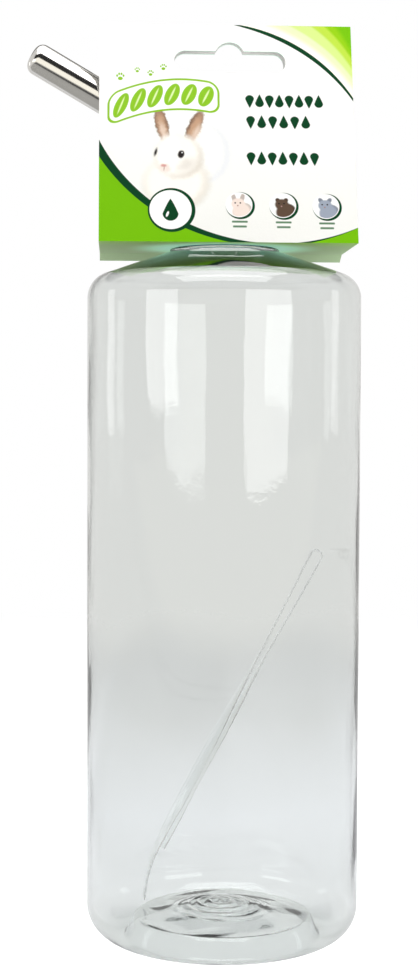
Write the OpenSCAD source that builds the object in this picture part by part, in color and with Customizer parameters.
// Bottle-fed drinker for rabbits: clear bottle, screw cap with a bent two-ball drinking tube,
// folded header card held on the neck, and a clear hanging strap packed inside the bottle.
// Millimetres. Z is the bottle's axis, the origin is the middle of the ring it stands on,
// the card's front panel faces -Y, and the drinking tube leaves towards -X.

/* [Bottle] */
// Outer diameter of the straight wall
bottle_d = 82; // [70:1:92]
// Height at which the straight wall turns into the shoulder
wall_top = 192.6; // [150:0.2:230]
// Wall thickness of the body
wall_t = 0.6; // [0.5:0.1:1]
// Radius of the rounded heel
heel_r = 10; // [8:0.5:12]
// Height of the pushed-up middle of the base
punt_h = 9.5; // [7:0.5:12]
// Radius that joins the wall to the shoulder
shoulder_r = 7.6; // [5:0.2:10]
// Slope of the cone shoulder, in degrees
shoulder_slope = 19; // [16:0.5:21]

/* [Neck] */
// Outer diameter of the support ring under the card
ring_d = 33; // [32:0.2:34]
// Outer diameter over the neck thread
thread_d = 27; // [26.8:0.1:27.2]
// Inner diameter of the neck
neck_bore = 21.7; // [21:0.1:22]
// Height of the neck above the support ring
neck_h = 12.6; // [12:0.1:13]
// Thread pitch, six turns to the inch
pitch = 4.23; // [4:0.01:4.4]
// Turns of thread on the neck
thread_turns = 1.25; // [1:0.25:1.5]

/* [Cap] */
// Diameter over the grip ribs
cap_d = 32; // [31:0.2:32.4]
// Diameter of the lower skirt, which passes through the card
skirt_d = 29.8; // [29.4:0.1:30]
// Number of grip ribs
rib_count = 36; // [24:1:48]

/* [Drinking tube] */
// Outer diameter of the stainless tube
tube_d = 9.5; // [9:0.1:10]
// Wall thickness of the tube
tube_t = 0.6; // [0.5:0.1:0.8]
// Angle of the outer arm above the horizontal
arm_rise = 30; // [25:1:35]
// Length of the outer arm, from the bottle's axis to the tip
arm_l = 66.4; // [60:0.2:72]
// Height at which the arm's centre line crosses the bottle's axis
arm_z = 231; // [230.6:0.1:232]
// Bend radius of the tube's centre line
bend_r = 10.5; // [10:0.1:11]
// Radius of the rolled-in tip
tip_r = 2.7; // [2.4:0.1:2.9]
// Diameter of the two steel balls
ball_d = 7.6; // [7.4:0.1:7.7]

/* [Header card] */
// Width of the card
card_w = 75; // [72:0.5:80]
// Depth of the bottom panel, from front fold to back fold
card_depth = 44; // [44:0.5:50]
// Height of the top fold above the front fold
card_h = 66.5; // [66:0.5:70]
// Thickness of the card
card_t = 0.5; // [0.4:0.1:0.6]
// How far the bottom panel's back edge droops
card_droop = 2; // [0:0.1:2]
// Length of the hanging slot
slot_l = 33.2; // [30:0.2:34]
// Height of the hanging slot's straight part
slot_h = 6.8; // [6:0.2:7.2]
// Diameter of the bump in the middle of the slot
slot_bump_d = 9; // [8:0.2:10]
// How far the slot is to the right of the middle
slot_x = 1.1; // [0:0.1:2]

/* [Hanging strap] */
// Width of the strap
strap_w = 3.2; // [2.5:0.1:3.4]
// Thickness of the strap
strap_t = 0.5; // [0.4:0.1:0.7]
// Radius of the fold at the top end
strap_fold_r = 1.8; // [1.5:0.1:1.8]
// How far the two strands turn about each other, in degrees
strap_twist = 65; // [40:5:80]

/* [Hidden] */
$fn = 96;

GAP = 0.3;                 // clearance between pieces that move past each other
FLAT_GAP = 0.1;            // clearance between flat faces that press together in use

bottle_r = bottle_d / 2;
ring_r = ring_d / 2;
foot_r = bottle_r - heel_r;
land_r = foot_r - 1;       // inner edge of the flat ring that the bottle stands on
platform_r = land_r - 4;   // edge of the raised middle of the base
platform_z = 6;
dimple_r = 12;             // moulding rings run out to here
ring_step = 3.5;
ring_rise = 0.35;
shoulder_end = [bottle_r - shoulder_r + shoulder_r * sin(shoulder_slope),
    wall_top + shoulder_r * cos(shoulder_slope)];
cone_top = shoulder_end[1] + (shoulder_end[0] - ring_r) * tan(shoulder_slope);
ring_top = cone_top + 0.75;
neck_top = ring_top + neck_h;
thread_crest = thread_d / 2;
thread_depth = 1.15;
thread_root = thread_crest - thread_depth;
thread_z = ring_top + 3;   // where the neck thread starts
cap_thread_depth = 1.05;

cap_r = cap_d / 2;
skirt_r = skirt_d / 2;
cap_bore = thread_crest + 0.35;
rib_r = 0.55;
rib_inset = 0.6;           // the ribs start this far above the step
panel_z = ring_top + GAP;                  // underside of the card's bottom panel
step_z = panel_z + card_t + GAP;           // where the cap widens above the card
gasket_t = 1.4;
plate_z = neck_top + gasket_t + 2 * FLAT_GAP;
plate_t = 1.8;
cap_top = plate_z + plate_t;
cap_hole = 13.2;
gasket_hole = 18.2;
grommet_d = 17;
lip_t = 1.2;

tube_r = tube_d / 2;
tube_bore = tube_r - tube_t;
tip_hole_r = tube_r - tip_r + 0.4;
bend_lap = 0.2;                            // how far each leg runs on into the bend
bend_swell = 0.04;
bend_angle = 90 - arm_rise;
bend_run = bend_r * tan(bend_angle / 2);
bend_z = arm_z - bend_run;
inlet_z = ring_top + 4.8;
bead_z = plate_z - lip_t - 1.6;            // rolled bead that stops the tube pulling out
bead_r = 1.1;
stop_s = 27;                               // rolled groove that stops the balls, from the tip
stop_depth = 1;
arm_dir = [-cos(arm_rise), 0, sin(arm_rise)];
ball_r = ball_d / 2;
ball_pitch = ball_d + GAP;
inner_ball_s = stop_s - stop_depth - 1.1 - ball_r;
tip_ball_s = inner_ball_s - ball_pitch;

card_hole = skirt_d + 0.8;
fold_front = [-card_depth / 2, panel_z];
fold_flat = [card_depth / 2 - 5, panel_z];
fold_back = [card_depth / 2, panel_z - card_droop];
fold_top = [0, panel_z + card_h];

strap_low = [-27.4, 9.5, 8.2];             // where the straight strap would reach the base
strap_high = [30.4, 21.2, 113.6];          // middle of the fold, leaning on the wall
strap_curl = 3.6;                          // how far the lower end bends back
strap_knee = 0.85;                         // where the short strand ends and the bend begins
strap_rings = 44;

// Points of a round stretch about c, from angle a0 to a1 in n steps
function arc(c, r, a0, a1, n) =
    [for (i = [0:n]) let (a = a0 + (a1 - a0) * i / n) c + r * [cos(a), sin(a)]];

function unit(v) = v / norm(v);
function left_normal(a, b) = unit([a[1] - b[1], b[0] - a[0]]);

// Corner b of the outline a-b-c, moved to its left by t
function inset(a, b, c, t) =
    let (m = left_normal(a, b), n = left_normal(b, c)) b + t * (m + n) / (1 + m * n);

function smooth(x) = x <= 0 ? 0 : x >= 1 ? 1 : x * x * (3 - 2 * x);

// Underside of the base at radius r: steep up from the flat ring, then a gentle dome with rings
function punt(r) =
    platform_z * (1 - smooth((r - platform_r) / (land_r - platform_r)))
    + (punt_h - platform_z) * pow(cos(min(90, 90 * r / platform_r)), 2)
    + ring_rise * cos(360 * r / ring_step) * (1 - smooth((r - dimple_r + ring_step) / ring_step));

// Outer outline of the body, from the middle of the base to the edge of the support ring
body_outline = concat(
    [for (r = [0 : 0.5 : land_r]) [r, punt(r)]],
    arc([foot_r, heel_r], heel_r, -90, 0, 18),
    arc([bottle_r - shoulder_r, wall_top], shoulder_r, 0, 90 - shoulder_slope, 14),
    [[ring_r, cone_top]]);

last = len(body_outline) - 1;
inner_body = concat(
    [[0, body_outline[0][1] + wall_t]],
    [for (i = [1 : last - 1])
        inset(body_outline[i - 1], body_outline[i], body_outline[i + 1], wall_t)],
    [[neck_bore / 2 + 1.5, cone_top + (ring_r - neck_bore / 2 - 1.5) * tan(shoulder_slope) - 1.6]]);

function reversed(v) = [for (i = [len(v) - 1 : -1 : 0]) v[i]];

// Helical ridge on radius root, standing out by depth (negative depth stands inwards)
module thread_ridge(root, depth, foot, crest, z, turns, steps = 24) {
    count = round(turns * steps);
    sunk = depth > 0 ? -0.2 : 0.2;
    rings = [for (i = [0:count]) let (
            a = 360 * i / steps,
            h = z + pitch * i / steps,
            grow = smooth(min(i, count - i) * 6 / steps),
            tip = root + sunk + (depth - sunk) * max(0.35, grow)
        ) each [
            [(root + sunk) * cos(a), (root + sunk) * sin(a), h - foot / 2],
            [tip * cos(a), tip * sin(a), h - crest / 2],
            [tip * cos(a), tip * sin(a), h + crest / 2],
            [(root + sunk) * cos(a), (root + sunk) * sin(a), h + foot / 2]
        ]];
    flip = depth < 0;
    sides = [for (i = [0 : count - 1], j = [0:3]) let (
            a = 4 * i + j,
            b = 4 * i + (j + 1) % 4,
            c = b + 4,
            d = a + 4
        ) each (flip ? [[c, b, a], [d, c, a]] : [[a, b, c], [a, c, d]])];
    ends = flip
        ? [[0, 1, 2], [0, 2, 3], [4 * count + 3, 4 * count + 2, 4 * count + 1],
            [4 * count + 3, 4 * count + 1, 4 * count]]
        : [[2, 1, 0], [3, 2, 0], [4 * count + 1, 4 * count + 2, 4 * count + 3],
            [4 * count, 4 * count + 1, 4 * count + 3]];
    polyhedron(rings, concat(sides, ends));
}

module bottle() {
    color([0.85, 0.88, 0.88, 0.35]) {
        rotate_extrude()
            polygon(concat(
                body_outline,
                [[ring_r, ring_top - 0.25], [ring_r - 0.25, ring_top], [thread_root, ring_top],
                    [thread_root, neck_top - 0.4], [thread_root - 0.4, neck_top],
                    [neck_bore / 2, neck_top], [neck_bore / 2, cone_top - 0.6]],
                reversed(inner_body)));
        thread_ridge(thread_root, thread_depth, 1.9, 1, thread_z, thread_turns);
    }
}

module screw_cap() {
    color([0.05, 0.5, 0.5]) {
        difference() {
            union() {
                translate([0, 0, panel_z])
                    cylinder(r = skirt_r, h = step_z - panel_z + 1);
                rotate_extrude()
                    polygon(concat(
                        [[0, step_z], [cap_r - rib_r, step_z]],
                        arc([cap_r - rib_r - 1.2, cap_top - 1.2], 1.2, 0, 90, 6),
                        [[0, cap_top]]));
                for (i = [0 : rib_count - 1])
                    rotate(360 * i / rib_count)
                        translate([cap_r - rib_r, 0, step_z + rib_inset])
                            cylinder(r = rib_r, h = cap_top - step_z - 1.8 - rib_inset);
            }
            translate([0, 0, panel_z - 1])
                cylinder(r = cap_bore, h = plate_z - panel_z + 1);
            cylinder(d = cap_hole, h = cap_top + 1);
        }
        thread_ridge(cap_bore, -cap_thread_depth, 1.7, 0.9,
            thread_z + pitch / 2, thread_turns);
    }
}

module cap_gasket() {
    color([0.93, 0.93, 0.9])
        translate([0, 0, neck_top + FLAT_GAP])
            difference() {
                cylinder(r = thread_root + 0.3, h = gasket_t);
                translate([0, 0, -1])
                    cylinder(d = gasket_hole, h = gasket_t + 2);
            }
}

module tube_grommet() {
    color([0.2, 0.2, 0.2])
        rotate_extrude()
            polygon([
                [tube_r + 0.05, plate_z - lip_t], [grommet_d / 2, plate_z - lip_t],
                [grommet_d / 2, plate_z], [cap_hole / 2, plate_z], [cap_hole / 2, cap_top],
                [grommet_d / 2, cap_top], [tube_r + 1.4, cap_top + lip_t],
                [tube_r + 0.05, cap_top + lip_t]]);
}

// Half section of the outer arm's outside or bore, along +Z with the tip at height l
module arm_section(l, r, tip) {
    g = l - stop_s;
    rotate_extrude()
        polygon(concat(
            [[0, -bend_lap], [r, -bend_lap]],
            arc([r, g], stop_depth, 270, 90, 12),
            arc([tube_r - tip_r, l - tip_r], tip, 0, 80, 12),
            [[0, l - tip_r + tip * sin(80)]]));
}

// Straight legs and the bend between them; the bend is a little fuller than the legs
module tube_run(r, tip) {
    translate([-bend_r, 0, bend_z])
        rotate([90, 0, 0]) {
            rotate_extrude(angle = bend_angle)
                translate([bend_r, 0])
                    circle(r = r + bend_swell);
            rotate(bend_angle)
                translate([bend_r, 0, 0])
                    rotate([-90, 0, 0])
                        arm_section(arm_l - bend_run, r, tip);
        }
    rotate_extrude()
        polygon(concat(
            [[0, inlet_z], [r, inlet_z]],
            arc([r, bead_z], bead_r, -90, 90, 10),
            [[r, bend_z + bend_lap], [0, bend_z + bend_lap]]));
}

module drinking_tube() {
    color([0.78, 0.78, 0.76])
        difference() {
            tube_run(tube_r, tip_r);
            tube_run(tube_bore, tip_r - tube_t);
            translate([0, 0, inlet_z - 1])
                cylinder(r = tube_bore, h = 2);
            translate([0, 0, arm_z] + arm_dir * (arm_l - 2))
                rotate([0, -bend_angle, 0])
                    cylinder(r = tip_hole_r, h = 4);
        }
}

module ball_at(s) {
    translate([0, 0, arm_z] + arm_dir * (arm_l - s))
        sphere(r = ball_r);
}

module tip_ball() {
    color([0.72, 0.72, 0.72])
        ball_at(tip_ball_s);
}

module inner_ball() {
    color([0.72, 0.72, 0.72])
        ball_at(inner_ball_s);
}

// Hanging slot with round ends and a bump, cut through along Y
module slot_cut() {
    run = slot_l - slot_h;
    bottom = fold_top[1] - 15.1;
    translate([slot_x, card_depth / 2, bottom + slot_h / 2])
        rotate([90, 0, 0]) {
            translate([-run / 2, -slot_h / 2, 0])
                cube([run, slot_h, card_depth]);
            for (side = [-1, 1])
                translate([side * run / 2, 0, 0])
                    cylinder(d = slot_h, h = card_depth);
            translate([0, 9.6 - slot_bump_d / 2 - slot_h / 2, 0])
                cylinder(d = slot_bump_d, h = card_depth);
        }
}

module header_card() {
    folds = [fold_front, fold_flat, fold_back, fold_top];
    inner = [for (i = [0:3]) inset(folds[(i + 3) % 4], folds[i], folds[(i + 1) % 4], card_t)];
    color([0.45, 0.75, 0.1])
        difference() {
            translate([-card_w / 2, 0, 0])
                rotate([90, 0, 90])
                    linear_extrude(card_w)
                        difference() {
                            polygon(folds);
                            polygon(inner);
                        }
            translate([0, 0, panel_z - 1])
                cylinder(d = card_hole, h = card_t + 2);
            slot_cut();
        }
}

strap_along = unit(strap_high - strap_low);
strap_apart = unit(cross(strap_along, [0, 1, 0]));
strap_across = cross(strap_along, strap_apart);

// Half the distance between the two strands, at a share f of the length down from the fold
function half_gap(f) = (strap_fold_r - 0.4 + 0.4 * cos(540 * f)) * (1 - 0.75 * pow(f, 5));

function twist(f) = strap_twist * smooth((f - 0.25) / 0.5);
function apart(f) = cos(twist(f)) * strap_apart + sin(twist(f)) * strap_across;
function across(f) = cos(twist(f)) * strap_across - sin(twist(f)) * strap_apart;
function curl(f) = strap_curl * pow(max(0, f - strap_knee) / (1 - strap_knee), 2);

// Centre of one strand, and the direction of its width
function strand(side, f) = [
    strap_high + (strap_low - strap_high) * f + side * apart(f) * half_gap(f) + [curl(f), 0, 0],
    across(f)];

// Up the short strand, round the fold, and down the long one to the bottom
strap_line = concat(
    [for (i = [strap_rings : -1 : 1]) strand(-1, i * strap_knee / strap_rings)],
    [for (a = [180 : -20 : 0])
        [strap_high + strap_fold_r * (cos(a) * strap_apart + sin(a) * strap_along), strap_across]],
    [for (i = [1 : strap_rings]) strand(1, i / strap_rings)]);

module hanging_strap() {
    n = len(strap_line);
    corners = [for (i = [0 : n - 1]) let (
            wide = strap_line[i][1],
            way = unit(strap_line[min(i + 1, n - 1)][0] - strap_line[max(i - 1, 0)][0]),
            out = unit(cross(wide, way))
        ) each [for (c = [[-1, -1], [1, -1], [1, 1], [-1, 1]])
            strap_line[i][0] + c[0] * wide * strap_w / 2 + c[1] * out * strap_t / 2]];
    sides = [for (i = [0 : n - 2], j = [0:3]) let (
            a = 4 * i + j,
            b = 4 * i + (j + 1) % 4
        ) each [[a, b, b + 4], [a, b + 4, a + 4]]];
    e = 4 * (n - 1);
    ends = [[2, 1, 0], [3, 2, 0], [e, e + 1, e + 2], [e, e + 2, e + 3]];
    color([0.85, 0.9, 0.9, 0.5])
        polyhedron(corners, concat(sides, ends));
}

bottle();
screw_cap();
cap_gasket();
tube_grommet();
drinking_tube();
tip_ball();
inner_ball();
header_card();
hanging_strap();
